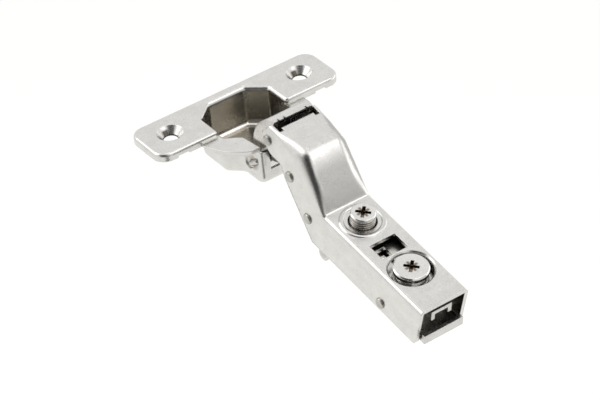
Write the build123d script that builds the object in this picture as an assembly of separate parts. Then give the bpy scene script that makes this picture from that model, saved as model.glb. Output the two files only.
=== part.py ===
from build123d import *
from math import atan2, cos, degrees, hypot, radians, sin, tan
import os

# Concealed cabinet hinge with a cranked arm, opened as far as it goes. All sizes in millimetres.
# Cup frame: origin on the axis of the bored hole at the face of the door, X towards the arm,
# Y along the flange and every pivot, Z out of the door.
# Arm frame: origin at the fold of the arm's top face, X towards the rear, Z out of the top face.

# Sheet and fits
CUP_SHEET = 1.2
TUB_WALL = 0.8
ARM_SHEET = 1.2
LEVER_SHEET = 1.2
CARRIER_SHEET = 1.2
PIVOT_FIT = 0.05
SIDE_FIT = 0.2

# Cup and flange
BORE_DIAMETER = 35.0
BORE_FIT = 0.1
FLANGE_LENGTH = 63.0
FLANGE_BACK = -17.9
FLANGE_FRONT = -0.6
FLANGE_TOP = 2.5
FLANGE_CORNER = 4.2
FLANGE_BEND = 1.0
SCREW_SPACING = 45.0
SCREW_X = -9.5
SCREW_HOLE = 4.2
SCREW_SINK = 8.0
SINK_FLOOR = 0.35
TUB_DEPTH = 11.0
TUB_BACK = -15.0
TUB_BACK_HALF = 6.5
TUB_HALF = 12.3
TUB_SIDE_START = -9.8
TUB_SIDE_END = 1.6
NOSE_START = 5.6
NOSE_HALF = 8.4
NOSE_FRONT = 14.0
NOSE_TOP = 0.3
ARCH_START = 21.9
ARCH_END = 25.6
ARCH_RISE = 0.6
EAR_LOW = 0.6
AXLE_POCKET_DEPTH = 0.4
TUB_BEND = 2.4
RIM_BEND = 1.5
EAR_RADIUS = BORE_DIAMETER / 2 - BORE_FIT
EAR_SLOPE = 7.0
EAR_SHEET = 1.2
NOTCH_HALF = 4.7
NOTCH_FLOOR = -6.2

# Pivots: two in the cup, given in the cup frame, and the rest in the arm frame
FRONT_PIVOT = (12.0, -3.2)
REAR_PIVOT = (9.2, -5.1)
AXLE_RADIUS = 0.9
AXLE_POCKET = 1.7
POCKET_START = (8.3, -5.4)
POCKET_END = (12.1, -2.2)
BRIDGE_SINK = 0.5
POCKET_LAP = 0.1
ARM_ORIGIN = (43.36, -4.87)
ARM_TILT = 10.2
INNER_PIVOT = (-26.0, 8.4)
OUTER_PIVOT = (-15.5, 2.6)
SPRING_PIVOT = (-6.6, -6.4)
GUIDE_PIVOT = (27.0, -10.9)
RIVET_RADIUS = 1.1
RIVET_HEAD = 1.6
RIVET_HEAD_HEIGHT = 0.6
RIVET_DOME = 0.36
CUT_OVER = 1.0

# Levers
EYE_WALL = 0.75
LEVER_ARC_CENTRE = (23.3, 0.0)
LEVER_ARC_RADIUS = 14.3
OUTER_LEVER_HALF = 4.4
OUTER_EYE_SHIFT = (-0.69, 0.37)
OUTER_EYE_PLAY = 0.92
LEVER_KNUCKLE = 1.8
LEVER_TIP = 1.8
LEVER_WAIST = (1.6, 4.4)
LEVER_FOOT = 1.0
LEVER_BACK_LOW = 2.0
LEVER_SLITS = [-4.8, -2.8, 4.6]
LEVER_SLIT_WIDTH = 0.5
LEVER_SLIT_LENGTH = 1.0

# Arm, a folded channel open below
ARM_HALF = 8.0
ARM_FRONT_EDGE = -23.2
EDGE_RELIEF = (1.2, 5.4)
UPPER_FACE = 13.9
CRANK_TOP = -11.6
CRANK_FOOT = 0.4
ARM_REAR = 44.0
ARM_REAR_LEAN = 1.6
ARM_BOTTOM = -13.6
CRANK_LOW_START = (-4.4, ARM_BOTTOM)
CRANK_LOW_END = (-17.6, 0.2)
EDGE_BEND = 1.5
KNEE_BEND = 2.6
FOOT_BEND = 1.0
BEND_STEPS = 5
UPPER_STATIONS = [-30.0, -24.0, -18.5]
EDGE_BENDS = [(-24.0, 0.9), (-18.5, 1.8), (-12.2, 3.5), (0.2, 1.3), (44.0, 1.5)]
LEAST_BEND = 0.25
OUTLINE_ROUND = 1.4
NOSE_TOP_SHIFT = 1.4
NOSE_OUTLINE = [(6.2, -4.4), (1.4, -4.2), (-2.8, -1.6), (-2.6, 1.6)]

# Adjusting screws
SIDE_SCREW_X = 7.7
SIDE_SCREW_RADIUS = 3.6
SIDE_SCREW_RISE = 3.5
SIDE_SCREW_NECK = 1.9
SIDE_SCREW_FOOT = 2.8
SCREW_FOOT_SHEET = 0.8
SIDE_THREAD_PITCH = 0.8
SIDE_SCREW_EDGE = 0.3
HEAD_SKIRT = 1.3
THREAD_GROOVES = 6
THREAD_DEPTH = 0.3
THREAD_SHIFT = 0.1
SIDE_COLLAR_FIT = 0.5
SIDE_COLLAR_DROP = 0.9
BEAD_RADIUS = 5.9
BEAD_ROUND = 0.9
BEAD_RISE = 0.4
CAM_X = 29.4
CAM_HEAD_RADIUS = 5.1
CAM_HEAD_HEIGHT = 1.5
CAM_RISE = 0.8
CAM_EDGE = 0.4
CAM_NECK = 4.2
CAM_STEM = 1.9
CAM_DISC_RADIUS = 5.2
CAM_DISC_SHEET = 0.9
CAM_STEM_END = 1.0
WASHER_WIDTH = 1.0
WASHER_SHEET = 0.6
CAM_HOLE_RADIUS = 6.3
CAM_HOLE_BEVEL = 0.5
CAM_CARRIER_HOLE = 4.6
CROSS_WIDTH = 1.0
CROSS_SPAN = 4.4
CROSS_DEPTH = 1.8
WINDOW_START = 16.4
WINDOW_LENGTH = 6.0
WINDOW_HALF = 4.3

# Parts inside the arm
PLATE_TOP = -3.4
PLATE_SHEET = 1.2
PLATE_HALF = 5.6
PLATE_TAIL_HALF = 3.4
PLATE_TAIL_START = 36.0
PLATE_FRONT = 1.6
PLATE_REAR = 43.0
PLATE_LIP = 1.9
PLATE_GAP = 0.3
CARRIER_HALF = 6.5
CARRIER_FRONT = -1.9
CARRIER_REAR = 37.4
CARRIER_BOTTOM = -12.6
CARRIER_HOLE = 3.6
CARRIER_DROP = 1.9
FOOT_TAB = ((27.6, -12.0), (28.2, -14.3))
FOOT_TAB_RADIUS = 1.8
PLATE_WINDOW_SIDE = 1.0
GUIDE_SLOT_TRAVEL = 1.6
GUIDE_FIT = 0.1
GUIDE_SLOT_HALF = RIVET_RADIUS + GUIDE_FIT
HOOK_PIVOT = (-0.9, -16.6)
HOOK_RADIUS = 1.1
HOOK_EYE = 2.0
HOOK_ROOT = (0.4, -11.6)
CLIP_PIVOT = (33.6, -8.8)
CLIP_PIN_RADIUS = 1.0
CLIP_HALF = 5.0
CLIP_FLOOR = -11.2
CLIP_REAR = 44.6
CLIP_LIP = 1.6
CLIP_LIP_HALF = 6.5
CLIP_EYE = 2.0
CLIP_EYE_ROOM = 0.4
CARRIER_CUT = CLIP_PIVOT[0] - CLIP_EYE - CLIP_EYE_ROOM
CLIP_LIP_GAP = 1.0
CLIP_SPRING_WALL = 0.8
CLIP_SPRING_TURNS = 5
CLIP_GROOVE = 0.4
SPRING_WIRE = 0.5
SPRING_TURNS = 3.25
SPRING_PITCH = 1.3
SPRING_COIL = 2.0
SPRING_FRONT_LEG = (-10.6, -6.6)
SPRING_TOP_LEG = (-4.8, 3.0)


def arm_place(shape):
    """Carry a shape from the arm frame to the cup frame."""
    return Location((ARM_ORIGIN[0], 0, ARM_ORIGIN[1]), (0, ARM_TILT, 0)) * shape


def arm_point(point):
    """Cup-frame X and Z of a point given in the arm frame."""
    c, s = cos(radians(ARM_TILT)), sin(radians(ARM_TILT))
    x = ARM_ORIGIN[0] + point[0] * c + point[1] * s
    z = ARM_ORIGIN[1] - point[0] * s + point[1] * c
    return (x, z)


def rod(centre, radius, low, high):
    """Round bar along Y between two stations."""
    bar = Cylinder(radius, high - low, align=(Align.CENTER, Align.CENTER, Align.MIN))
    return Location((centre[0], low, centre[1]), (-90, 0, 0)) * bar


def stud(x, radius, low, high):
    """Round bar along Z between two heights."""
    bar = Cylinder(radius, high - low, align=(Align.CENTER, Align.CENTER, Align.MIN))
    return Pos(x, 0, low) * bar


def side_face(outline):
    """Closed face in the XZ plane at Y = 0 from X and Z points."""
    return make_face(Polyline([(x, 0, z) for x, z in outline], close=True))


def along_y(face, low, high):
    """Extrude a face of the XZ plane between two stations of Y."""
    return extrude(Pos(0, low, 0) * face, amount=high - low, dir=(0, 1, 0))


def block(x, y, z):
    """Block from the low and high value of each axis."""
    corner = (Align.MIN, Align.MIN, Align.MIN)
    return Pos(x[0], y[0], z[0]) * Box(x[1] - x[0], y[1] - y[0], z[1] - z[0], align=corner)


def slot_y(start, end, radius, low, high):
    """Oblong bar along Y with round ends at two points."""
    length = hypot(end[0] - start[0], end[1] - start[1])
    tilt = -degrees(atan2(end[1] - start[1], end[0] - start[0]))
    bar = block((0, length), (low, high), (-radius, radius))
    bar = Location((start[0], 0, start[1]), (0, tilt, 0)) * bar
    return bar + rod(start, radius, low, high) + rod(end, radius, low, high)


def tub_plan(wall):
    """Plan of the drawn tub, moved inwards by a wall."""
    half = [
        (TUB_BACK, TUB_BACK_HALF),
        (TUB_SIDE_START, TUB_HALF),
        (TUB_SIDE_END, TUB_HALF),
        (NOSE_START, NOSE_HALF),
        (NOSE_FRONT, NOSE_HALF),
    ]
    mirrored = [(x, -y) for x, y in reversed(half)]
    plan = make_face(Polyline(half + mirrored, close=True))
    if wall:
        plan = offset(plan, -wall, kind=Kind.INTERSECTION)
    return plan


def drawn_block(wall, floor, top):
    """Tub volume with round corners, for the outside and for the cavity."""
    body = extrude(Pos(0, 0, floor) * tub_plan(wall), top - floor)
    body = fillet(body.edges().filter_by(Axis.Z), TUB_BEND - wall)
    return fillet(body.faces().sort_by(Axis.Z)[0].edges(), TUB_BEND - wall)


def flange():
    """Flange plate with its turned-down rim."""
    width = FLANGE_FRONT - FLANGE_BACK
    plan = Pos((FLANGE_FRONT + FLANGE_BACK) / 2, 0) * RectangleRounded(width, FLANGE_LENGTH, FLANGE_CORNER)
    plate = extrude(plan, FLANGE_TOP)
    plate = fillet(plate.faces().sort_by(Axis.Z)[-1].edges(), FLANGE_BEND)
    plate -= extrude(offset(plan, -CUP_SHEET), FLANGE_TOP - CUP_SHEET)
    for side in (-1, 1):
        low, high = sorted((side * ARCH_START, side * ARCH_END))
        plate -= block((FLANGE_FRONT - CUP_SHEET, FLANGE_FRONT), (low, high), (0, ARCH_RISE))
    return plate


def screw_dimple(side):
    """Solid part and cut of one countersunk screw hole."""
    y = side * SCREW_SPACING / 2
    sink = FLANGE_TOP - SINK_FLOOR
    low, high = SCREW_HOLE / 2, SCREW_SINK / 2
    corner = (Align.CENTER, Align.CENTER, Align.MIN)
    solid = Pos(SCREW_X, y, 0) * Cone(low + CUP_SHEET, high + CUP_SHEET, FLANGE_TOP - CUP_SHEET, align=corner)
    cut = Pos(SCREW_X, y, SINK_FLOOR) * Cone(low, high, sink, align=corner)
    cut += Pos(SCREW_X, y, -CUT_OVER) * Cylinder(low, FLANGE_TOP + 2 * CUT_OVER, align=corner)
    return solid, cut


def ears():
    """Two leaf-shaped lips that fill the bored circle beside the arm."""
    start = FLANGE_FRONT - CUP_SHEET
    filler = extrude(Pos(0, 0, -BORE_DIAMETER / 2) * Circle(EAR_RADIUS), BORE_DIAMETER)
    slab = block((0, BORE_DIAMETER), (-BORE_DIAMETER, BORE_DIAMETER), (-EAR_SHEET, 0))
    slab = Location((start, 0, EAR_LOW), (0, -EAR_SLOPE, 0)) * slab
    around = (-BORE_DIAMETER, BORE_DIAMETER)
    keep = block((start, NOSE_FRONT), around, around)
    return filler & slab & keep


def above_ears():
    """Space over the ears and in front of the flange."""
    slab = block((0, BORE_DIAMETER), (-BORE_DIAMETER, BORE_DIAMETER), (0, BORE_DIAMETER))
    slab = Location((FLANGE_FRONT - CUP_SHEET, 0, EAR_LOW), (0, -EAR_SLOPE, 0)) * slab
    around = (-BORE_DIAMETER, BORE_DIAMETER)
    front = block((FLANGE_FRONT, BORE_DIAMETER), around, around)
    return slab & front


def round_opening(body):
    """Soft bend where the flange turns down into the tub."""
    top = body.edges().filter_by_position(Axis.Z, FLANGE_TOP - POCKET_LAP, FLANGE_TOP + POCKET_LAP)
    top = top.filter_by_position(Axis.Y, -TUB_HALF, TUB_HALF)
    return fillet(top.filter_by_position(Axis.X, TUB_BACK, FLANGE_FRONT - POCKET_LAP), RIM_BEND)


def hinge_cup():
    """Drawn cup, ears and screw flange, one pressed sheet."""
    body = flange() + (drawn_block(0, -TUB_DEPTH, FLANGE_TOP - FLANGE_BEND) - above_ears()) + ears()
    for side in (-1, 1):
        solid, cut = screw_dimple(side)
        body = body + solid - cut
    body -= drawn_block(TUB_WALL, TUB_WALL - TUB_DEPTH, FLANGE_TOP + TUB_DEPTH)
    body = round_opening(body)
    inner = NOSE_HALF - TUB_WALL
    body -= block((NOSE_START + TUB_WALL, NOSE_FRONT + CUT_OVER), (-inner, inner), (NOSE_TOP, TUB_DEPTH))
    body -= block((NOSE_START, NOSE_FRONT + CUT_OVER), (-NOTCH_HALF, NOTCH_HALF), (NOTCH_FLOOR, TUB_DEPTH))
    for pivot in (FRONT_PIVOT, REAR_PIVOT):
        body -= rod(pivot, AXLE_RADIUS, -inner, NOSE_HALF + CUT_OVER)
    side = -NOSE_HALF - CUT_OVER
    body -= slot_y(REAR_PIVOT, FRONT_PIVOT, AXLE_RADIUS, side, -inner + POCKET_LAP)
    body -= slot_y(POCKET_START, POCKET_END, AXLE_POCKET, side, -NOSE_HALF + AXLE_POCKET_DEPTH)
    return body


def cup_double_pin():
    """Both cup axles, bent from one wire with the bridge in the side pocket."""
    bridge = -NOSE_HALF + BRIDGE_SINK
    pin = rod(FRONT_PIVOT, AXLE_RADIUS, bridge, NOSE_HALF)
    pin += rod(REAR_PIVOT, AXLE_RADIUS, bridge, NOSE_HALF)
    for pivot in (FRONT_PIVOT, REAR_PIVOT):
        pin += Pos(pivot[0], bridge, pivot[1]) * Sphere(AXLE_RADIUS)
    length = hypot(FRONT_PIVOT[0] - REAR_PIVOT[0], FRONT_PIVOT[1] - REAR_PIVOT[1])
    tilt = degrees(atan2(FRONT_PIVOT[0] - REAR_PIVOT[0], FRONT_PIVOT[1] - REAR_PIVOT[1]))
    bar = Cylinder(AXLE_RADIUS, length, align=(Align.CENTER, Align.CENTER, Align.MIN))
    return pin + Location((REAR_PIVOT[0], bridge, REAR_PIVOT[1]), (0, tilt, 0)) * bar


def ring(centre, radius, width):
    """Annulus in the XZ plane between two radii."""
    place = Location((centre[0], 0, centre[1]), (90, 0, 0))
    return place * (Circle(radius) - Circle(radius - width))


def disc(centre, radius):
    """Round face in the XZ plane."""
    return Location((centre[0], 0, centre[1]), (90, 0, 0)) * Circle(radius)


def inner_lever():
    """Hooked lever from the deep cup axle to the front rivet: two cheeks and a curved back."""
    top = arm_point(INNER_PIVOT)
    eye = AXLE_RADIUS + PIVOT_FIT + EYE_WALL
    knuckle = RIVET_RADIUS + PIVOT_FIT + LEVER_KNUCKLE
    field = side_face(
        [
            (REAR_PIVOT[0] - eye, REAR_PIVOT[1]),
            (REAR_PIVOT[0] - eye, top[1] + LEVER_ARC_RADIUS),
            (top[0] + LEVER_TIP, top[1] + LEVER_ARC_RADIUS),
            (top[0] + LEVER_TIP, top[1]),
            (top[0], top[1] - knuckle),
            (REAR_PIVOT[0] + LEVER_WAIST[0], REAR_PIVOT[1] + LEVER_WAIST[1]),
            (REAR_PIVOT[0] + LEVER_FOOT, REAR_PIVOT[1]),
        ]
    )
    cheek = field & disc(LEVER_ARC_CENTRE, LEVER_ARC_RADIUS)
    cheek = cheek + disc(REAR_PIVOT, eye) + disc(top, knuckle)
    high = ARM_HALF - ARM_SHEET - SIDE_FIT
    low = high - LEVER_SHEET
    body = along_y(cheek, low, high) + along_y(cheek, -high, -low)
    back = ring(LEVER_ARC_CENTRE, LEVER_ARC_RADIUS, LEVER_SHEET) & field
    lift = block((0, BORE_DIAMETER), (-high, high), (LEVER_BACK_LOW, BORE_DIAMETER))
    body += along_y(back, -high, high) & lift
    tip = top[0] + LEVER_TIP
    for y in LEVER_SLITS:
        side = (y - LEVER_SLIT_WIDTH / 2, y + LEVER_SLIT_WIDTH / 2)
        body -= block((tip - LEVER_SLIT_LENGTH, tip + CUT_OVER), side, (top[1], BORE_DIAMETER))
    body -= rod(REAR_PIVOT, AXLE_RADIUS + PIVOT_FIT, -ARM_HALF, ARM_HALF)
    return body - rod(top, RIVET_RADIUS + PIVOT_FIT, -ARM_HALF, ARM_HALF)


def outer_lever():
    """Flat lever from the front cup axle to the second rivet, with an eye at each end."""
    far = arm_point(OUTER_PIVOT)
    far = (far[0] + OUTER_EYE_SHIFT[0], far[1] + OUTER_EYE_SHIFT[1])
    near_eye = AXLE_RADIUS + PIVOT_FIT
    far_eye = RIVET_RADIUS + OUTER_EYE_PLAY
    half = OUTER_LEVER_HALF
    body = slot_y(FRONT_PIVOT, far, LEVER_SHEET / 2, -half, half)
    body += rod(FRONT_PIVOT, near_eye + EYE_WALL, -half, half)
    body += rod(far, far_eye + EYE_WALL, -half, half)
    body -= rod(FRONT_PIVOT, near_eye, -2 * half, 2 * half)
    return body - rod(far, far_eye, -2 * half, 2 * half)


def arm_outline():
    """Side outline of the arm's cheeks."""
    nose = INNER_PIVOT
    return [
        (nose[0] + NOSE_TOP_SHIFT, UPPER_FACE + ARM_SHEET),
        (ARM_REAR, UPPER_FACE + ARM_SHEET),
        (ARM_REAR, 0),
        (ARM_REAR - ARM_REAR_LEAN, ARM_BOTTOM),
        CRANK_LOW_START,
        CRANK_LOW_END,
    ] + [(nose[0] + x, nose[1] + z) for x, z in NOSE_OUTLINE]


def crank_slope():
    """Angle of the crank's face below the upper face, in radians."""
    return atan2(UPPER_FACE, CRANK_FOOT - CRANK_TOP)


def bend_points(corner, before, after, radius, side):
    """Points of a bend in the top line; side is 1 for the knee and -1 for the foot."""
    middle = (before + after) / 2
    reach = radius / cos((after - before) / 2)
    centre = (corner[0] - side * reach * sin(middle), corner[1] - side * reach * cos(middle))
    points = []
    for step in range(BEND_STEPS + 1):
        angle = before + (after - before) * step / BEND_STEPS
        points.append((centre[0] + side * radius * sin(angle), centre[1] + side * radius * cos(angle)))
    return points


def arm_line(drop):
    """Top line of the arm moved inwards square to its faces, with both bends, from front to rear."""
    slope = crank_slope()
    shift = drop * tan(slope / 2)
    knee = (CRANK_TOP - shift, UPPER_FACE - drop)
    foot = (CRANK_FOOT - shift, -drop)
    line = [(x, UPPER_FACE - drop) for x in UPPER_STATIONS]
    line += bend_points(knee, 0, slope, KNEE_BEND - drop, 1)
    line += bend_points(foot, slope, 0, FOOT_BEND + drop, -1)
    line.append((2 * ARM_REAR, -drop))
    return line


def edge_radius(x):
    """Radius of the bend between top and cheek, wide at the knee and tight at the fold."""
    for (x0, r0), (x1, r1) in zip(EDGE_BENDS, EDGE_BENDS[1:]):
        if x <= x1:
            return r0 + (r1 - r0) * max(x - x0, 0) / (x1 - x0)
    return EDGE_BENDS[-1][1]


def arm_block(drop):
    """Block under the top line, lofted through upright sections, for the outside and the inside."""
    half = ARM_HALF - drop
    low = -ARM_REAR
    sections = []
    for x, top in arm_line(drop):
        place = Plane(origin=(x, 0, (top + low) / 2), x_dir=(0, 1, 0), z_dir=(1, 0, 0))
        radius = max(edge_radius(x) - drop, LEAST_BEND)
        sections.append(place * RectangleRounded(2 * half, top - low, radius))
    return loft(sections, ruled=True)


def arm_shell():
    """Cranked channel with bent edges, wide at the knee."""
    outline = arm_outline()
    cheeks = along_y(side_face(outline), -ARM_HALF, ARM_HALF)
    for corner in outline[3:]:
        across = cheeks.edges().filter_by(Axis.Y)
        cheeks = fillet(across.sort_by_distance((corner[0], 0, corner[1]))[0], OUTLINE_ROUND)
    inner = ARM_HALF - ARM_SHEET
    nose = block((-ARM_REAR, ARM_FRONT_EDGE), (-inner, inner), (-ARM_REAR, ARM_REAR))
    for side in (-1, 1):
        low, high = sorted((side * EDGE_RELIEF[1], side * inner))
        nose += block((-ARM_REAR, ARM_FRONT_EDGE + EDGE_RELIEF[0]), (low, high), (-ARM_REAR, ARM_REAR))
    return (arm_block(0) & cheeks) - arm_block(ARM_SHEET) - nose


def hinge_arm():
    """Cranked arm with its holes, bead and window, one folded sheet."""
    body = arm_shell()
    bead = Pos(SIDE_SCREW_X, 0, BEAD_RISE - BEAD_ROUND) * Torus(BEAD_RADIUS, BEAD_ROUND)
    body += bead & block((0, ARM_REAR), (-ARM_HALF, ARM_HALF), (-ARM_SHEET, ARM_SHEET))
    collar = SIDE_SCREW_RADIUS + SIDE_COLLAR_FIT
    body += stud(SIDE_SCREW_X, collar + ARM_SHEET / 2, -ARM_SHEET - SIDE_COLLAR_DROP, -ARM_SHEET)
    body -= stud(SIDE_SCREW_X, collar, -UPPER_FACE, UPPER_FACE)
    body -= stud(CAM_X, CAM_HOLE_RADIUS, -ARM_SHEET - CUT_OVER, CUT_OVER)
    bevel = Cone(CAM_HOLE_RADIUS, CAM_HOLE_RADIUS + CAM_HOLE_BEVEL, CAM_HOLE_BEVEL)
    body -= Pos(CAM_X, 0, -CAM_HOLE_BEVEL / 2) * bevel
    window = (WINDOW_START, WINDOW_START + WINDOW_LENGTH)
    body -= block(window, (-WINDOW_HALF, WINDOW_HALF), (-ARM_SHEET - CUT_OVER, CUT_OVER))
    for pivot in (INNER_PIVOT, OUTER_PIVOT, SPRING_PIVOT, GUIDE_PIVOT):
        body -= rod(pivot, RIVET_RADIUS, -2 * ARM_HALF, 2 * ARM_HALF)
    return arm_place(body)


def rivet(pivot):
    """Axle through both cheeks of the arm, with a domed head each side."""
    body = rod(pivot, RIVET_RADIUS, -ARM_HALF, ARM_HALF)
    for side in (-1, 1):
        low, high = sorted((side * ARM_HALF, side * (ARM_HALF + RIVET_HEAD_HEIGHT)))
        head = rod(pivot, RIVET_HEAD, low, high)
        rim = head.edges().filter_by(GeomType.CIRCLE).sort_by(Axis.Y)
        head = fillet(rim[-1] if side > 0 else rim[0], RIVET_DOME)
        body += head
    return arm_place(body)


def closing_spring():
    """Leg spring wound round the spring rivet."""
    height = SPRING_TURNS * SPRING_PITCH
    start = Location((SPRING_PIVOT[0], -height / 2, SPRING_PIVOT[1]), (-90, 0, 0))
    path = Wire([start * Helix(SPRING_PITCH, height, SPRING_COIL)])
    ends = (path @ 0, path @ 1)
    section = Plane(origin=ends[0], z_dir=path % 0) * Circle(SPRING_WIRE)
    body = sweep(section, path=path, is_frenet=True)
    for end, leg in zip(ends, (SPRING_TOP_LEG, SPRING_FRONT_LEG)):
        foot = Vector(leg[0], end.Y, leg[1])
        direction = foot - end
        base = Plane(origin=end, z_dir=direction)
        body += extrude(base * Circle(SPRING_WIRE), direction.length)
        body += Pos(end) * Sphere(SPRING_WIRE)
    return arm_place(body)


def cross_recess(height):
    """Cross-shaped driver recess cut down from a height."""
    bar = Box(CROSS_SPAN, CROSS_WIDTH, 2 * CROSS_DEPTH)
    cut = bar + Rot(0, 0, 90) * bar
    return Pos(0, 0, height) * Rot(0, 0, 45) * cut


def side_screw():
    """Side-adjusting screw: threaded stub, neck and foot."""
    low = PLATE_TOP
    body = stud(0, SIDE_SCREW_RADIUS, low + PLATE_GAP, SIDE_SCREW_RISE)
    rim = body.edges().filter_by(GeomType.CIRCLE).sort_by(Axis.Z)[-1]
    body = chamfer(rim, SIDE_SCREW_EDGE)
    for turn in range(THREAD_GROOVES):
        z = SIDE_SCREW_RISE - HEAD_SKIRT - turn * SIDE_THREAD_PITCH
        body -= Pos(0, 0, z) * Torus(SIDE_SCREW_RADIUS + THREAD_SHIFT, THREAD_DEPTH)
    under = PLATE_TOP - PLATE_SHEET
    body += stud(0, SIDE_SCREW_NECK, under - PLATE_GAP, low + PLATE_GAP)
    body += stud(0, SIDE_SCREW_FOOT, under - PLATE_GAP - SCREW_FOOT_SHEET, under - PLATE_GAP)
    body -= cross_recess(SIDE_SCREW_RISE)
    return arm_place(Pos(SIDE_SCREW_X, 0, 0) * body)


def depth_cam():
    """Depth-adjusting screw: head, spiral neck, disc and riveted stem."""
    body = stud(0, CAM_HEAD_RADIUS, CAM_RISE - CAM_HEAD_HEIGHT, CAM_RISE)
    rim = body.edges().filter_by(GeomType.CIRCLE).sort_by(Axis.Z)[-1]
    body = chamfer(rim, CAM_EDGE)
    disc_top = PLATE_TOP + PLATE_GAP + CAM_DISC_SHEET
    body += stud(0, CAM_NECK, disc_top, CAM_RISE - CAM_HEAD_HEIGHT)
    disc_low = PLATE_TOP + PIVOT_FIT
    body += stud(0, CAM_DISC_RADIUS, disc_low, disc_top)
    body += stud(0, CAM_STEM, PLATE_TOP - PLATE_SHEET - CAM_STEM_END, disc_low)
    body -= cross_recess(CAM_RISE)
    return arm_place(Pos(CAM_X, 0, 0) * body)


def cam_washer():
    """Washer riveted under the adjusting plate on the cam's stem."""
    top = PLATE_TOP - PLATE_SHEET
    body = stud(CAM_X, CAM_STEM + WASHER_WIDTH, top - WASHER_SHEET, top)
    return arm_place(body - stud(CAM_X, CAM_STEM + PIVOT_FIT, top - 2 * WASHER_SHEET, top + CUT_OVER))


def adjusting_plate():
    """Plate inside the arm that carries both screws, with a folded tail at the rear."""
    z = (PLATE_TOP - PLATE_SHEET, PLATE_TOP)
    cut = (z[0] - CUT_OVER, z[1] + CUT_OVER)
    body = block((PLATE_FRONT, PLATE_TAIL_START), (-PLATE_HALF, PLATE_HALF), z)
    body += block((PLATE_TAIL_START, PLATE_REAR), (-PLATE_TAIL_HALF, PLATE_TAIL_HALF), z)
    for side in (-1, 1):
        low, high = sorted((side * PLATE_TAIL_HALF, side * (PLATE_TAIL_HALF - PLATE_SHEET)))
        body += block((PLATE_REAR - PLATE_LIP, PLATE_REAR), (low, high), (z[0] - PLATE_LIP, z[1]))
    body -= stud(SIDE_SCREW_X, SIDE_SCREW_NECK + PIVOT_FIT, *cut)
    body -= stud(CAM_X, CAM_STEM + PIVOT_FIT, *cut)
    window = (WINDOW_START, WINDOW_START + WINDOW_LENGTH)
    body -= block(window, (-WINDOW_HALF, PLATE_WINDOW_SIDE), cut)
    return arm_place(body)


def carrier():
    """Channel that clips to the mounting plate, with the front hook cheeks."""
    top = PLATE_TOP - PLATE_SHEET - CARRIER_DROP
    inner = CARRIER_HALF - CARRIER_SHEET
    body = block((CARRIER_FRONT, CARRIER_REAR), (-CARRIER_HALF, CARRIER_HALF), (CARRIER_BOTTOM, top))
    long_edges = body.edges().filter_by(Axis.X).sort_by(Axis.Z)[-2:]
    body = fillet(long_edges, EDGE_BEND)
    body += slot_y(HOOK_PIVOT, HOOK_ROOT, HOOK_EYE, -CARRIER_HALF, CARRIER_HALF)
    body += slot_y(FOOT_TAB[0], FOOT_TAB[1], FOOT_TAB_RADIUS, -CARRIER_HALF, CARRIER_HALF)
    under = (-2 * UPPER_FACE, top - CARRIER_SHEET)
    body -= block((2 * CARRIER_FRONT, 2 * CARRIER_REAR), (-inner, inner), under)
    body -= block((CARRIER_CUT, 2 * CARRIER_REAR), (-inner, inner), (CARRIER_BOTTOM, top + CUT_OVER))
    body -= stud(SIDE_SCREW_X, CARRIER_HOLE, CARRIER_BOTTOM, top + CUT_OVER)
    body -= stud(CAM_X, CAM_CARRIER_HOLE, CARRIER_BOTTOM, top + CUT_OVER)
    window = (WINDOW_START, WINDOW_START + WINDOW_LENGTH)
    body -= block(window, (-WINDOW_HALF, PLATE_WINDOW_SIDE), (CARRIER_BOTTOM, top + CUT_OVER))
    start = (GUIDE_PIVOT[0] - GUIDE_SLOT_TRAVEL, GUIDE_PIVOT[1])
    end = (GUIDE_PIVOT[0] + GUIDE_SLOT_TRAVEL, GUIDE_PIVOT[1])
    body -= slot_y(start, end, GUIDE_SLOT_HALF, -ARM_HALF, ARM_HALF)
    body -= rod(HOOK_PIVOT, HOOK_RADIUS, -ARM_HALF, ARM_HALF)
    body -= rod(CLIP_PIVOT, CLIP_PIN_RADIUS, -ARM_HALF, ARM_HALF)
    return arm_place(body)


def clip_lever():
    """Release lever at the rear: floor, folded lip and two ears on its pin."""
    floor = (CLIP_FLOOR - CARRIER_SHEET, CLIP_FLOOR)
    half = CLIP_HALF
    body = block((CLIP_PIVOT[0] - CLIP_EYE, CLIP_REAR), (-half, half), floor)
    lip = (CLIP_REAR - CARRIER_SHEET, CLIP_REAR)
    body += block((CARRIER_REAR + CLIP_LIP_GAP, CLIP_REAR), (-CLIP_LIP_HALF, CLIP_LIP_HALF), floor)
    body += block(lip, (-CLIP_LIP_HALF, CLIP_LIP_HALF), (floor[0], CLIP_FLOOR + CLIP_LIP))
    ear_foot = (CLIP_PIVOT[0], CLIP_FLOOR - CARRIER_SHEET / 2)
    for side in (-1, 1):
        low, high = sorted((side * half, side * (half - CARRIER_SHEET)))
        ear = slot_y(CLIP_PIVOT, ear_foot, CLIP_EYE, low, high)
        body += ear & block((0, ARM_REAR), (-ARM_HALF, ARM_HALF), (floor[0], UPPER_FACE))
    return arm_place(body - rod(CLIP_PIVOT, CLIP_PIN_RADIUS + PIVOT_FIT, -ARM_HALF, ARM_HALF))


def clip_spring():
    """Small coil on the lever's pin."""
    half = CLIP_HALF - CARRIER_SHEET - PLATE_GAP
    outer = CLIP_PIN_RADIUS + CLIP_SPRING_WALL
    body = rod(CLIP_PIVOT, outer, -half, half)
    body -= rod(CLIP_PIVOT, CLIP_PIN_RADIUS, -2 * half, 2 * half)
    for turn in range(CLIP_SPRING_TURNS):
        y = -half + (turn + 0.5) * 2 * half / CLIP_SPRING_TURNS
        groove = Torus(outer + CLIP_GROOVE / 2, CLIP_GROOVE)
        body -= Location((CLIP_PIVOT[0], y, CLIP_PIVOT[1]), (90, 0, 0)) * groove
    return arm_place(body)


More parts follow.
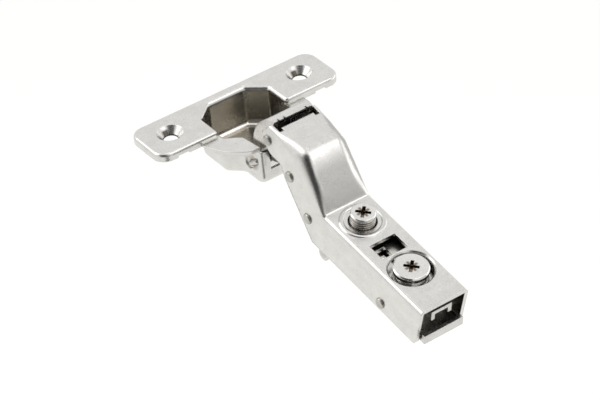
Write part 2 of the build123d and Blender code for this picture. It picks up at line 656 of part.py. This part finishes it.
def write_parts():
    """Build every sub-part and write it to its own file."""
    os.makedirs("parts", exist_ok=True)
    inner = CARRIER_HALF
    pieces = {
        "hinge_cup": hinge_cup(),
        "cup_double_pin": cup_double_pin(),
        "inner_lever": inner_lever(),
        "outer_lever": outer_lever(),
        "hinge_arm": hinge_arm(),
        "inner_lever_rivet": rivet(INNER_PIVOT),
        "outer_lever_rivet": rivet(OUTER_PIVOT),
        "spring_rivet": rivet(SPRING_PIVOT),
        "guide_pin": rivet(GUIDE_PIVOT),
        "closing_spring": closing_spring(),
        "adjusting_plate": adjusting_plate(),
        "side_screw": side_screw(),
        "depth_cam": depth_cam(),
        "cam_washer": cam_washer(),
        "carrier": carrier(),
        "hook_pin": arm_place(rod(HOOK_PIVOT, HOOK_RADIUS, -inner, inner)),
        "clip_lever": clip_lever(),
        "clip_lever_pin": arm_place(rod(CLIP_PIVOT, CLIP_PIN_RADIUS, -inner, inner)),
        "clip_spring": clip_spring(),
    }
    for name, shape in pieces.items():
        shape.label = name
        export_step(shape, f"parts/{name}.step")


write_parts()
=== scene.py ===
import math

import bpy
from mathutils import Matrix, Vector


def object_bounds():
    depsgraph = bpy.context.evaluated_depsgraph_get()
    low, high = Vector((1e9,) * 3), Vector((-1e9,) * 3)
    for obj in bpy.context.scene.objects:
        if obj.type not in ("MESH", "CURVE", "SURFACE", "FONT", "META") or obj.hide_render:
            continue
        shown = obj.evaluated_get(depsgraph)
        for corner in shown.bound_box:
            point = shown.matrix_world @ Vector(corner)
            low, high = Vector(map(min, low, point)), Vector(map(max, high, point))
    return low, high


# Looks for the concealed hinge: plated sheet, wire and screws on a pale stage. All lengths in metres.

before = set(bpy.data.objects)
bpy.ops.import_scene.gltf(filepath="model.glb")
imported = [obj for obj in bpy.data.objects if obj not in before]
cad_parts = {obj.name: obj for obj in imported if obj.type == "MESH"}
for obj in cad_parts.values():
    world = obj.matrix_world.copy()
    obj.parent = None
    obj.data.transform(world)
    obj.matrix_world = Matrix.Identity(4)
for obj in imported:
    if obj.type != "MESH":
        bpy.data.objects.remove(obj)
cad_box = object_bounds()

# Camera, fitted to the photo
CAMERA_PLACE = Vector((0.49666, -0.29679, 0.39535))
CAMERA_RIGHT = Vector((0.578452, 0.811276, -0.084995))
CAMERA_UP = Vector((-0.443375, 0.400162, 0.802053))
CAMERA_LENS = 147.3
SENSOR_WIDTH = 36.0

# Stage. Cards and lamps stand round the middle of the part: direction, distance, width and height, brightness
MIDDLE = Vector((0.03, 0.0, -0.005))
CARDS = {
    "dark_low_right": ((0.79, -0.61, 0.07), 0.50, (0.78, 0.34), 0.15),
    "dark_high_right": ((0.40, -0.58, 0.66), 0.50, (0.50, 0.40), 0.09),
    "dark_camera_side": ((0.68, -0.42, 0.60), 0.50, (0.16, 0.22), 0.05),
    "dark_below_camera": ((0.74, -0.36, -0.50), 0.42, (0.16, 0.16), 0.05),
    "grey_rear": ((0.84, 0.42, 0.22), 0.45, (0.28, 0.28), 0.72),
    "bright_far": ((0.25, 0.95, 0.02), 0.45, (0.40, 0.26), 1.7),
    "dark_boom": ((-0.02, 0.42, 0.906), 0.45, (0.07, 0.30), 0.10),
    "bright_above": ((0.40, 0.42, 0.80), 0.45, (0.34, 0.20), 2.0),
}
LAMPS = {
    "left": ((-0.52, -0.53, 0.65), 0.60, (0.40, 0.40), 0.8),
    "above": ((0.10, 0.30, 0.95), 0.90, (0.60, 0.60), 0.8),
}
FLOOR_DROP = 0.30
FLOOR_HALF = 2.0
FLOOR_TONE = (0.86, 0.86, 0.85)
FLOOR_LIFT = 0.25
SKY_TONE = (0.80, 0.80, 0.79)

# Finish: clouds of pale and dull plate, sparse dark specks, fine grain, soft edges
CLOUD_SCALE = 260.0
CLOUD_DETAIL = 5.0
CLOUD_STOPS = (0.30, 0.66)
ROUGH_CLOUDS = (0.3, 0.7)
ROUGHER = 0.04
SMOOTHER = 0.03
SPECK_SCALE = 1500.0
SPECK_DETAIL = 2.0
SPECK_STOPS = (0.70, 0.76)
SPECK_SHADE = 0.4
SPECK_STRENGTH = 0.5
TURNED_SPECK_STRENGTH = 0.3
GRAIN_TONE_SCALE = 3400.0
GRAIN_TONE_DETAIL = 2.0
GRAIN_TONE_RANGE = (0.45, 0.62)
GRAIN_TONE_STRENGTH = 0.30
GRAIN_TONE_SHADE = 0.72
GRAIN_SCALE = 9000.0
GRAIN_DETAIL = 3.0
GRAIN_STRENGTH = 0.07
GRAIN_DEPTH = 0.00006
EDGE_SOFTNESS = 0.0003
EDGE_SAMPLES = 6

# Soft edge of a mask
MASK_EDGE = 0.0001

# Directions of the cup's frame, and the arm's frame in it. Level and shift turn places along the arm's own
# directions into the cup's
X = Vector((1, 0, 0))
Y = Vector((0, 1, 0))
Z = Vector((0, 0, 1))
ARM_ORIGIN = Vector((0.04336, 0.0, -0.00487))
ARM_TILT = math.radians(10.2)
ARM_ALONG = Vector((math.cos(ARM_TILT), 0.0, -math.sin(ARM_TILT)))
ARM_UP = Vector((math.sin(ARM_TILT), 0.0, math.cos(ARM_TILT)))
ARM_LEVEL = ARM_UP.dot(ARM_ORIGIN)
ARM_SHIFT = ARM_ALONG.dot(ARM_ORIGIN)
ARM_HALF = 0.0080

# Inside of the arm's channel, and the painted shade in it
ARM_INNER_HALF = 0.0069
ARM_INNER_TOP = -0.0011
ARM_UPPER_TOP = 0.0128
ARM_INSIDE_SHADE = (0.10, 0.09, 0.075)

# The arm's sloping middle, its crank: slope, knee, how far the knee and the long bends lean the normals
CRANK_RUN = 0.654
CRANK_DROP = 0.757
CRANK_NORMAL = CRANK_DROP * ARM_ALONG + CRANK_RUN * ARM_UP
CRANK_DOWN = CRANK_RUN * ARM_ALONG - CRANK_DROP * ARM_UP
CRANK_INNER = -0.0008
CRANK_ENDS = (-0.0240, -0.0165, -0.0050, 0.0005)
CRANK_SOFTNESS = 0.0017
CRANK_HALF = (0.0058, 0.0074)
CRANK_KNEE = -0.0182
KNEE = CRANK_KNEE + CRANK_DOWN.dot(ARM_ORIGIN)
KNEE_LEAN = 0.34
KNEE_LEAN_START = (KNEE - 0.0008, KNEE + 0.0006)
KNEE_LEAN_FADE = (KNEE, KNEE + 0.0085)
ROLL_LEANS = {-1: (0.0040, 0.0066, 0.50), 1: (0.0047, 0.0070, 0.70)}

# Tones on the crank: painted shade, darker towards the fold, and a painted dark band along the near bend
# below the knee, which stands in for a reflection in the photo
CRANK_FOOT = (ARM_LEVEL + 0.0003, ARM_LEVEL + 0.0008)
FOLD_FADE = (KNEE + 0.0100, KNEE + 0.0182)
FOLD_STRENGTH = 0.5
FOLD_SHADE_TONE = (0.42, 0.405, 0.375)
ROLL_START = (0.0050, 0.0064)
ROLL_END = (0.0070, 0.0078)
ROLL_TOP = (KNEE - 0.0004, KNEE + 0.0016)
ROLL_STRENGTH = 0.8
ROLL_REFLECTION_TONE = (0.22, 0.215, 0.20)

# Inside of the drawn cup: the planes that bound it, and its tones from the floor up: painted light on its
# floor, painted shade up its walls and lighter again towards the rim
CUP_END = 0.0146
CUP_TOP = 0.0012
CUP_SIDES = [(0.0, 1.0, 0.0119), (-0.745, 0.667, 0.0151), (0.698, 0.716, 0.0095)]
CUP_DEPTHS = (-0.0103, 0.0)
CUP_SHADE_AND_LIGHT_TONES = [
    (0.0, (0.88, 0.86, 0.81)),
    (0.06, (0.80, 0.77, 0.72)),
    (0.18, (0.23, 0.21, 0.17)),
    (0.60, (0.27, 0.25, 0.21)),
    (1.0, (0.45, 0.425, 0.38)),
]

# Axle pockets in the cup's sides, in painted shade
POCKET_PLACE = (0.0106, -0.0042)
POCKET_FADE = (0.0014, 0.0026)
POCKET_START = (0.0060, 0.0065)
POCKET_STRENGTH = 0.85
POCKET_SHADE_TONE = (0.30, 0.26, 0.21)

# Screw bores in painted shade, with a painted shadow streak down the cone behind each
BORES = [(-0.0095, 0.0225), (-0.0095, -0.0225)]
BORE_RADIUS = 0.00225
BORE_SHADE_TONE = (0.09, 0.08, 0.065)
STREAK_FADE = (0.0030, 0.0034)
STREAK_HALF = 0.0010
STREAK_SIDE = 0.0008

# Screws: place along the arm, rise over it, radius of the recess
SIDE_SCREW = (0.0077, 0.0035, 0.0023)
DEPTH_CAM = (0.0294, 0.0008, 0.0023)
RECESS_LIP = 0.00015
RECESS_FIT = 0.01
# Painted shade in the screws' recesses and in the brown star marks between their arms
RECESS_SHADE_TONE = (0.22, 0.18, 0.135)
STAR_REACH = 0.0023
STAR_FULL = 0.75
STAR_HALF = 0.00042
STROKE_SOFTNESS = 0.4
THREAD_WALL = 0.00357
THREAD_WALL_EDGE = 0.00004
THREAD_START = 0.0031
# Painted shade in the side screw's thread grooves
GROOVE_SHADE_TONE = (0.22, 0.19, 0.16)

# Inner side of the inner lever's curved web: centre of its arc, radius, half width
LEVER_CENTRE = 0.0233
LEVER_RADIUS = (0.0136, 0.0138)
LEVER_HALF = (0.0052, 0.0055)
# Painted shade on the web's inner side, where it shows in the gap before the arm
GAP_SHADE_TONE = (0.05, 0.045, 0.04)

# Finishes: pieces, pale tone, dull tone, roughness
FINISHES = {
    "plated_arm": (["hinge_arm"], (0.715, 0.705, 0.68), (0.65, 0.638, 0.612), 0.25),
    "plated_cup": (["hinge_cup"], (0.715, 0.705, 0.68), (0.65, 0.638, 0.612), 0.25),
    "plated_sheet": (["clip_lever"], (0.68, 0.665, 0.64), (0.62, 0.605, 0.58), 0.26),
    "plated_lever": (["inner_lever"], (0.68, 0.665, 0.64), (0.62, 0.605, 0.58), 0.26),
    "plated_inner": (["adjusting_plate", "carrier"], (0.68, 0.665, 0.635), (0.58, 0.565, 0.535), 0.28),
    # The outer lever, hidden inside, has a dark tone as painted shade
    "plated_in_painted_shade": (["outer_lever"], (0.30, 0.285, 0.26), (0.22, 0.21, 0.19), 0.30),
    "plated_turned": (
        ["side_screw", "depth_cam", "cam_washer"],
        (0.76, 0.75, 0.725),
        (0.70, 0.69, 0.665),
        0.16,
    ),
    "plated_wire": (
        ["cup_double_pin", "hook_pin", "clip_lever_pin", "closing_spring", "clip_spring"],
        (0.60, 0.59, 0.565),
        (0.48, 0.465, 0.435),
        0.22,
    ),
    "plated_rivet": (
        ["inner_lever_rivet", "outer_lever_rivet", "spring_rivet", "guide_pin"],
        (0.54, 0.525, 0.495),
        (0.38, 0.365, 0.335),
        0.20,
    ),
}


# ---- Camera and stage ----


def add_camera():
    """Camera at the photo's place, turned as the photo is."""
    data = bpy.data.cameras.new("view")
    data.lens = CAMERA_LENS
    data.sensor_width = SENSOR_WIDTH
    camera = bpy.data.objects.new("view", data)
    back = CAMERA_RIGHT.cross(CAMERA_UP)
    turn = Matrix((CAMERA_RIGHT, CAMERA_UP, back)).transposed()
    camera.matrix_world = Matrix.Translation(CAMERA_PLACE) @ turn.to_4x4()
    bpy.context.scene.collection.objects.link(camera)
    bpy.context.scene.camera = camera


def facing_middle(direction, distance):
    """Place and turn of something that faces the middle of the part, its width level."""
    away = Vector(direction).normalized()
    across = Z.cross(away).normalized()
    turn = Matrix((across, away.cross(across), away)).transposed()
    return Matrix.Translation(MIDDLE + distance * away) @ turn.to_4x4()


def add_lamp(name, direction, distance, size, power):
    """Soft rectangular lamp."""
    data = bpy.data.lights.new(name, "AREA")
    data.shape = "RECTANGLE"
    data.size, data.size_y = size
    data.energy = power
    lamp = bpy.data.objects.new(name, data)
    lamp.matrix_world = facing_middle(direction, distance)
    bpy.context.scene.collection.objects.link(lamp)


def add_sheet(name, half_wide, half_high, level=0.0):
    """Flat rectangle with an empty material: the object, and the material's nodes."""
    turns = [(-1, -1), (1, -1), (1, 1), (-1, 1)]
    corners = [(x * half_wide, y * half_high, level) for x, y in turns]
    mesh = bpy.data.meshes.new(name)
    mesh.from_pydata(corners, [], [(0, 1, 2, 3)])
    sheet = bpy.data.objects.new(name, mesh)
    bpy.context.scene.collection.objects.link(sheet)
    paint = bpy.data.materials.new(name)
    paint.use_nodes = True
    paint.node_tree.nodes.clear()
    mesh.materials.append(paint)
    return sheet, paint.node_tree


def glow(tree, strength):
    """White emission."""
    node = tree.nodes.new("ShaderNodeEmission")
    node.inputs["Color"].default_value = (1, 1, 1, 1)
    node.inputs["Strength"].default_value = strength
    return node.outputs[0]


def mix_shaders(tree, factor, first, second):
    """Mix two shaders."""
    mix = tree.nodes.new("ShaderNodeMixShader")
    for socket, link in enumerate((factor, first, second)):
        tree.links.new(link, mix.inputs[socket])
    return mix.outputs[0]


def seen_rays(tree):
    """One for rays from the camera, reflections and glass, nought for diffuse light."""
    path = tree.nodes.new("ShaderNodeLightPath")
    total = path.outputs["Is Camera Ray"]
    for other in ("Is Glossy Ray", "Is Transmission Ray"):
        add = tree.nodes.new("ShaderNodeMath")
        add.operation = "ADD"
        add.use_clamp = True
        tree.links.new(total, add.inputs[0])
        tree.links.new(path.outputs[other], add.inputs[1])
        total = add.outputs[0]
    return total


def add_card(name, direction, distance, size, brightness):
    """Card that only reflections see."""
    card, tree = add_sheet(name, size[0] / 2, size[1] / 2)
    card.matrix_world = facing_middle(direction, distance)
    out = tree.nodes.new("ShaderNodeOutputMaterial")
    tree.links.new(glow(tree, brightness), out.inputs["Surface"])
    card.visible_camera = False
    card.visible_diffuse = False
    card.visible_shadow = False


def add_world():
    """White backdrop, and a plain pale sky for diffuse light."""
    world = bpy.data.worlds.new("studio")
    bpy.context.scene.world = world
    world.use_nodes = True
    tree = world.node_tree
    tree.nodes.clear()
    skies = []
    for tone in (SKY_TONE, (1, 1, 1)):
        sky = tree.nodes.new("ShaderNodeBackground")
        sky.inputs["Color"].default_value = (*tone, 1)
        skies.append(sky.outputs[0])
    out = tree.nodes.new("ShaderNodeOutputWorld")
    tree.links.new(mix_shaders(tree, seen_rays(tree), *skies), out.inputs["Surface"])


def add_floor():
    """Pale floor well below the part, white where no shadow falls."""
    floor, tree = add_sheet("floor", FLOOR_HALF, FLOOR_HALF, cad_box[0][2] - FLOOR_DROP)
    dull = tree.nodes.new("ShaderNodeBsdfDiffuse")
    dull.inputs["Color"].default_value = (*FLOOR_TONE, 1)
    lift = mix_shaders(tree, seen_rays(tree), glow(tree, 0.0), glow(tree, FLOOR_LIFT))
    total = tree.nodes.new("ShaderNodeAddShader")
    out = tree.nodes.new("ShaderNodeOutputMaterial")
    tree.links.new(dull.outputs[0], total.inputs[0])
    tree.links.new(lift, total.inputs[1])
    tree.links.new(total.outputs[0], out.inputs["Surface"])


def add_studio():
    """Lamps where the photo's bends shine, and cards for what they mirror."""
    for name, lamp in LAMPS.items():
        add_lamp(name, *lamp)
    for name, card in CARDS.items():
        add_card(name, *card)


# ---- Values, colours and masks ----


def calc(tree, operation, *values):
    """Math node, each value a link or a number."""
    node = tree.nodes.new("ShaderNodeMath")
    node.operation = operation
    for socket, value in enumerate(values):
        if isinstance(value, (int, float)):
            node.inputs[socket].default_value = value
        else:
            tree.links.new(value, node.inputs[socket])
    return node.outputs[0]


def spread(tree, source, low, high, start, end):
    """Map a range of a value to another range, held at both ends."""
    node = tree.nodes.new("ShaderNodeMapRange")
    node.inputs["From Min"].default_value = start
    node.inputs["From Max"].default_value = end
    node.inputs["To Min"].default_value = low
    node.inputs["To Max"].default_value = high
    tree.links.new(source, node.inputs["Value"])
    return node.outputs[0]


def rising(tree, source, start, end, most=1.0):
    """Mask that rises from nought at the start to its most at the end."""
    return spread(tree, source, 0.0, most, start, end)


def falling(tree, source, start, end, most=1.0):
    """Mask that falls from its most at the start to nought at the end."""
    return spread(tree, source, most, 0.0, start, end)


def product(tree, *masks):
    """Product of masks."""
    total = masks[0]
    for mask in masks[1:]:
        total = calc(tree, "MULTIPLY", total, mask)
    return total


def noise(tree, scale, detail):
    """Noise in the part's own coordinates."""
    coord = tree.nodes.new("ShaderNodeTexCoord")
    field = tree.nodes.new("ShaderNodeTexNoise")
    field.inputs["Scale"].default_value = scale
    field.inputs["Detail"].default_value = detail
    tree.links.new(coord.outputs["Object"], field.inputs["Vector"])
    return field.outputs["Fac"]


def ramp(tree, source, stops):
    """Colour ramp from (place, colour) stops."""
    node = tree.nodes.new("ShaderNodeValToRGB")
    marks = node.color_ramp.elements
    marks[0].position, marks[0].color = stops[0][0], (*stops[0][1], 1)
    marks[1].position, marks[1].color = stops[-1][0], (*stops[-1][1], 1)
    for place, colour in stops[1:-1]:
        marks.new(place).color = (*colour, 1)
    tree.links.new(source, node.inputs[0])
    return node.outputs[0]


def blend(tree, factor, first, second):
    """Mix two colours, each a link or a plain colour."""
    mix = tree.nodes.new("ShaderNodeMix")
    mix.data_type = "RGBA"
    for slot, colour in (("A", first), ("B", second)):
        if isinstance(colour, tuple):
            mix.inputs[slot].default_value = (*colour, 1)
        else:
            tree.links.new(colour, mix.inputs[slot])
    tree.links.new(factor, mix.inputs["Factor"])
    return mix.outputs["Result"]


def shade(colour, share):
    """A colour darkened to a share."""
    return tuple(channel * share for channel in colour)


def along(tree, direction):
    """Distance of a point along a direction, in the part's frame."""
    coord = tree.nodes.new("ShaderNodeTexCoord")
    dot = tree.nodes.new("ShaderNodeVectorMath")
    dot.operation = "DOT_PRODUCT"
    dot.inputs[1].default_value = direction
    tree.links.new(coord.outputs["Object"], dot.inputs[0])
    return dot.outputs["Value"]


def off_middle(tree):
    """Distance of a point from the part's middle plane."""
    return calc(tree, "ABSOLUTE", along(tree, Y))


def from_axis(tree, first, first_place, second, second_place):
    """Distance of a point from an axis, given two directions square to it."""
    squares = []
    for direction, place in ((first, first_place), (second, second_place)):
        part = calc(tree, "SUBTRACT", along(tree, direction), place)
        squares.append(calc(tree, "MULTIPLY", part, part))
    return calc(tree, "SQRT", calc(tree, "ADD", *squares))


def stroke(tree, direction, place, half):
    """A straight band through a place, soft at its sides."""
    away = calc(tree, "ABSOLUTE", calc(tree, "SUBTRACT", along(tree, direction), place))
    return falling(tree, away, half * (1 - STROKE_SOFTNESS), half * (1 + STROKE_SOFTNESS))


def within(tree, planes):
    """One where a point lies inside all the planes, nought outside."""
    sides = [
        falling(tree, along(tree, normal), reach - MASK_EDGE, reach + MASK_EDGE) for normal, reach in planes
    ]
    return product(tree, *sides)


def crank_mask(tree):
    """One on the arm's crank, fading over its knee and its fold."""
    back = along(tree, ARM_ALONG)
    first, second, third, fourth = (place + ARM_SHIFT for place in CRANK_ENDS)
    return product(tree, rising(tree, back, first, second), falling(tree, back, third, fourth))


# ---- Tones of single pieces ----


def cup_planes():
    """Planes that bound the drawn cup inside its wall: outward normal and distance."""
    planes = [(-X, CUP_END), (Z, CUP_TOP)]
    for side in (-1, 1):
        planes += [(Vector((x, y * side, 0)), reach) for x, y, reach in CUP_SIDES]
    return planes


def arm_planes(top_normal, top):
    """Planes that bound the arm's inside under one of its faces."""
    sides = [(side * Y, ARM_INNER_HALF) for side in (-1, 1)]
    return [(top_normal, top + top_normal.dot(ARM_ORIGIN))] + sides


def cup_shade_and_light(tree, tone):
    """Cup: painted shade, browner and darker inside, painted light on its paler floor, and painted shade in
    the axle pockets and the screw bores.
    """
    # Painted light on the floor and painted shade up the walls, inside the cup
    depth = ramp(tree, rising(tree, along(tree, Z), *CUP_DEPTHS), CUP_SHADE_AND_LIGHT_TONES)
    tone = blend(tree, within(tree, cup_planes()), tone, depth)
    # Painted shade in the axle pockets
    x, z = POCKET_PLACE
    pocket = falling(tree, from_axis(tree, X, x, Z, z), *POCKET_FADE, POCKET_STRENGTH)
    outside = rising(tree, off_middle(tree), *POCKET_START)
    tone = blend(tree, product(tree, pocket, outside), tone, POCKET_SHADE_TONE)
    # Painted shade in each screw bore, and a painted shadow streak down the cone behind it
    for x, y in BORES:
        reach = from_axis(tree, X, x, Y, y)
        bore = falling(tree, reach, BORE_RADIUS - MASK_EDGE, BORE_RADIUS)
        tone = blend(tree, bore, tone, BORE_SHADE_TONE)
        streak = product(
            tree,
            falling(tree, reach, *STREAK_FADE),
            stroke(tree, Y, y, STREAK_HALF),
            falling(tree, along(tree, X), x - STREAK_SIDE, x),
        )
        tone = blend(tree, streak, tone, BORE_SHADE_TONE)
    return tone


def arm_shade_and_reflection(tree, tone):
    """Arm: painted shade, darker towards the fold, a painted reflection along the near bend of the crank, and
    painted shade inside the channel.
    """
    down = along(tree, CRANK_DOWN)
    above_foot = rising(tree, along(tree, ARM_UP), *CRANK_FOOT)
    middle = falling(tree, off_middle(tree), *CRANK_HALF)
    # Painted shade, darker towards the fold
    fold = product(tree, rising(tree, down, *FOLD_FADE, FOLD_STRENGTH), above_foot, middle)
    tone = blend(tree, fold, tone, FOLD_SHADE_TONE)
    # Painted reflection: a dark band along the near bend below the knee
    roll = product(
        tree,
        rising(tree, along(tree, -Y), *ROLL_START, ROLL_STRENGTH),
        falling(tree, off_middle(tree), *ROLL_END),
        crank_mask(tree),
        above_foot,
        rising(tree, down, *ROLL_TOP),
    )
    tone = blend(tree, roll, tone, ROLL_REFLECTION_TONE)
    # Painted shade inside the arm's channel
    flat = within(tree, arm_planes(ARM_UP, ARM_INNER_TOP))
    crank = within(tree, arm_planes(CRANK_NORMAL, CRANK_INNER) + arm_planes(ARM_UP, ARM_UPPER_TOP))
    return blend(tree, calc(tree, "MAXIMUM", flat, crank), tone, ARM_INSIDE_SHADE)


def lever_gap_shade(tree, tone):
    """Inner lever: painted shade on the inner side of its curved web, which shows in the gap before the arm.
    """
    inner = falling(tree, from_axis(tree, X, LEVER_CENTRE, Z, 0.0), *LEVER_RADIUS)
    middle = falling(tree, off_middle(tree), *LEVER_HALF)
    return blend(tree, product(tree, inner, middle), tone, GAP_SHADE_TONE)


def screw_recess_shade(tree, tone):
    """Screws: painted shade, brown in the recesses and in marks between their arms, and dark in the thread
    grooves on the side screw.
    """
    up = along(tree, ARM_UP)
    # Painted shade in the recesses and in the star marks between their arms
    marks = []
    for place, rise, radius in (SIDE_SCREW, DEPTH_CAM):
        top = rise + ARM_LEVEL
        reach = from_axis(tree, ARM_ALONG, place + ARM_SHIFT, Y, 0.0)
        near = falling(tree, reach, radius * (1 - RECESS_FIT), radius * (1 + RECESS_FIT))
        low = falling(tree, up, top - 2 * RECESS_LIP, top - RECESS_LIP)
        marks.append(product(tree, near, low))
        star = falling(tree, reach, STAR_REACH * STAR_FULL, STAR_REACH)
        for across in (ARM_ALONG, Y):
            arm = stroke(tree, across, across.dot(place * ARM_ALONG + ARM_ORIGIN), STAR_HALF)
            marks.append(product(tree, arm, star))
    mask = marks[0]
    for mark in marks[1:]:
        mask = calc(tree, "MAXIMUM", mask, mark)
    tone = blend(tree, mask, tone, RECESS_SHADE_TONE)
    reach = from_axis(tree, ARM_ALONG, SIDE_SCREW[0] + ARM_SHIFT, Y, 0.0)
    start = THREAD_START + ARM_LEVEL
    groove = falling(tree, reach, THREAD_WALL - THREAD_WALL_EDGE, THREAD_WALL)
    below = falling(tree, up, start - MASK_EDGE, start)
    return blend(tree, product(tree, groove, below), tone, GROOVE_SHADE_TONE)


# ---- Materials ----


def vector_calc(tree, operation, *links):
    """Vector math node; a second link of a scaling goes to its scale."""
    node = tree.nodes.new("ShaderNodeVectorMath")
    node.operation = operation
    tree.links.new(links[0], node.inputs[0])
    if len(links) > 1:
        tree.links.new(links[1], node.inputs["Scale" if operation == "SCALE" else 1])
    return node.outputs[0]


def lean_to(tree, normal, direction, amount):
    """Lean a normal towards a direction of the part by an amount."""
    turn = tree.nodes.new("ShaderNodeVectorTransform")
    turn.vector_type = "VECTOR"
    turn.convert_from = "OBJECT"
    turn.convert_to = "WORLD"
    turn.inputs[0].default_value = direction
    push = vector_calc(tree, "SCALE", turn.outputs[0], amount)
    return vector_calc(tree, "NORMALIZE", vector_calc(tree, "ADD", normal, push))


def swell(tree, normal):
    """Lean the crank's normals up under its knee and outwards at its sides, as on the fuller real sheet."""
    down = along(tree, CRANK_DOWN)
    lean = product(
        tree,
        falling(tree, down, *KNEE_LEAN_FADE, KNEE_LEAN),
        rising(tree, down, *KNEE_LEAN_START),
        falling(tree, off_middle(tree), *CRANK_HALF),
    )
    normal = lean_to(tree, normal, -CRANK_DOWN, lean)
    edge = falling(tree, off_middle(tree), CRANK_HALF[1], ARM_HALF)
    for side, (first, last, most) in ROLL_LEANS.items():
        out = rising(tree, along(tree, side * Y), first, last, most)
        normal = lean_to(tree, normal, side * Y, product(tree, out, crank_mask(tree), edge))
    return normal


def plated(name, pale, dull, rough, speck=SPECK_STRENGTH, darken=None, crank=False):
    """Nickel-plated steel: soft cloudy tone, satin grain, sparse dark specks and soft edges."""
    paint = bpy.data.materials.new(name)
    paint.use_nodes = True
    tree = paint.node_tree
    shader = tree.nodes["Principled BSDF"]
    shader.inputs["Metallic"].default_value = 1.0
    cloud = noise(tree, CLOUD_SCALE, CLOUD_DETAIL)
    tone = ramp(tree, cloud, [(CLOUD_STOPS[0], dull), (CLOUD_STOPS[1], pale)])
    clear, full = SPECK_STOPS
    stops = [(0.0, (0, 0, 0)), (clear, (0, 0, 0)), (full, (speck, speck, speck))]
    spots = ramp(tree, noise(tree, SPECK_SCALE, SPECK_DETAIL), stops)
    tone = blend(tree, spots, tone, shade(dull, SPECK_SHADE))
    fine = noise(tree, GRAIN_TONE_SCALE, GRAIN_TONE_DETAIL)
    grain = rising(tree, fine, *GRAIN_TONE_RANGE, GRAIN_TONE_STRENGTH)
    tone = blend(tree, grain, tone, shade(dull, GRAIN_TONE_SHADE))
    # Painted shade, light and reflection of single pieces
    if darken:
        tone = darken(tree, tone)
    tree.links.new(tone, shader.inputs["Base Color"])
    roughness = spread(tree, cloud, rough + ROUGHER, rough - SMOOTHER, *ROUGH_CLOUDS)
    tree.links.new(roughness, shader.inputs["Roughness"])
    edge = tree.nodes.new("ShaderNodeBevel")
    edge.samples = EDGE_SAMPLES
    edge.inputs["Radius"].default_value = EDGE_SOFTNESS
    normal = edge.outputs[0]
    if crank:
        softness = spread(tree, crank_mask(tree), EDGE_SOFTNESS, CRANK_SOFTNESS, 0.0, 1.0)
        tree.links.new(softness, edge.inputs["Radius"])
        normal = swell(tree, normal)
    bump = tree.nodes.new("ShaderNodeBump")
    bump.inputs["Strength"].default_value = GRAIN_STRENGTH
    bump.inputs["Distance"].default_value = GRAIN_DEPTH
    tree.links.new(noise(tree, GRAIN_SCALE, GRAIN_DETAIL), bump.inputs["Height"])
    tree.links.new(normal, bump.inputs["Normal"])
    tree.links.new(bump.outputs["Normal"], shader.inputs["Normal"])
    return paint


def dress_nodes():
    """Give each listed CAD node its material in place of its plain one."""
    # Pieces with painted shade, light or reflection in their colour
    extras = {
        "plated_arm": {"darken": arm_shade_and_reflection, "crank": True},
        "plated_cup": {"darken": cup_shade_and_light},
        "plated_lever": {"darken": lever_gap_shade},
        "plated_turned": {"darken": screw_recess_shade, "speck": TURNED_SPECK_STRENGTH},
    }
    for name, (pieces, pale, dull, rough) in FINISHES.items():
        paint = plated(name, pale, dull, rough, **extras.get(name, {}))
        for piece in pieces:
            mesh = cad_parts[piece].data
            mesh.materials.clear()
            mesh.materials.append(paint)


bpy.context.scene.view_settings.view_transform = "Standard"
add_camera()
add_world()
add_floor()
add_studio()
dress_nodes()
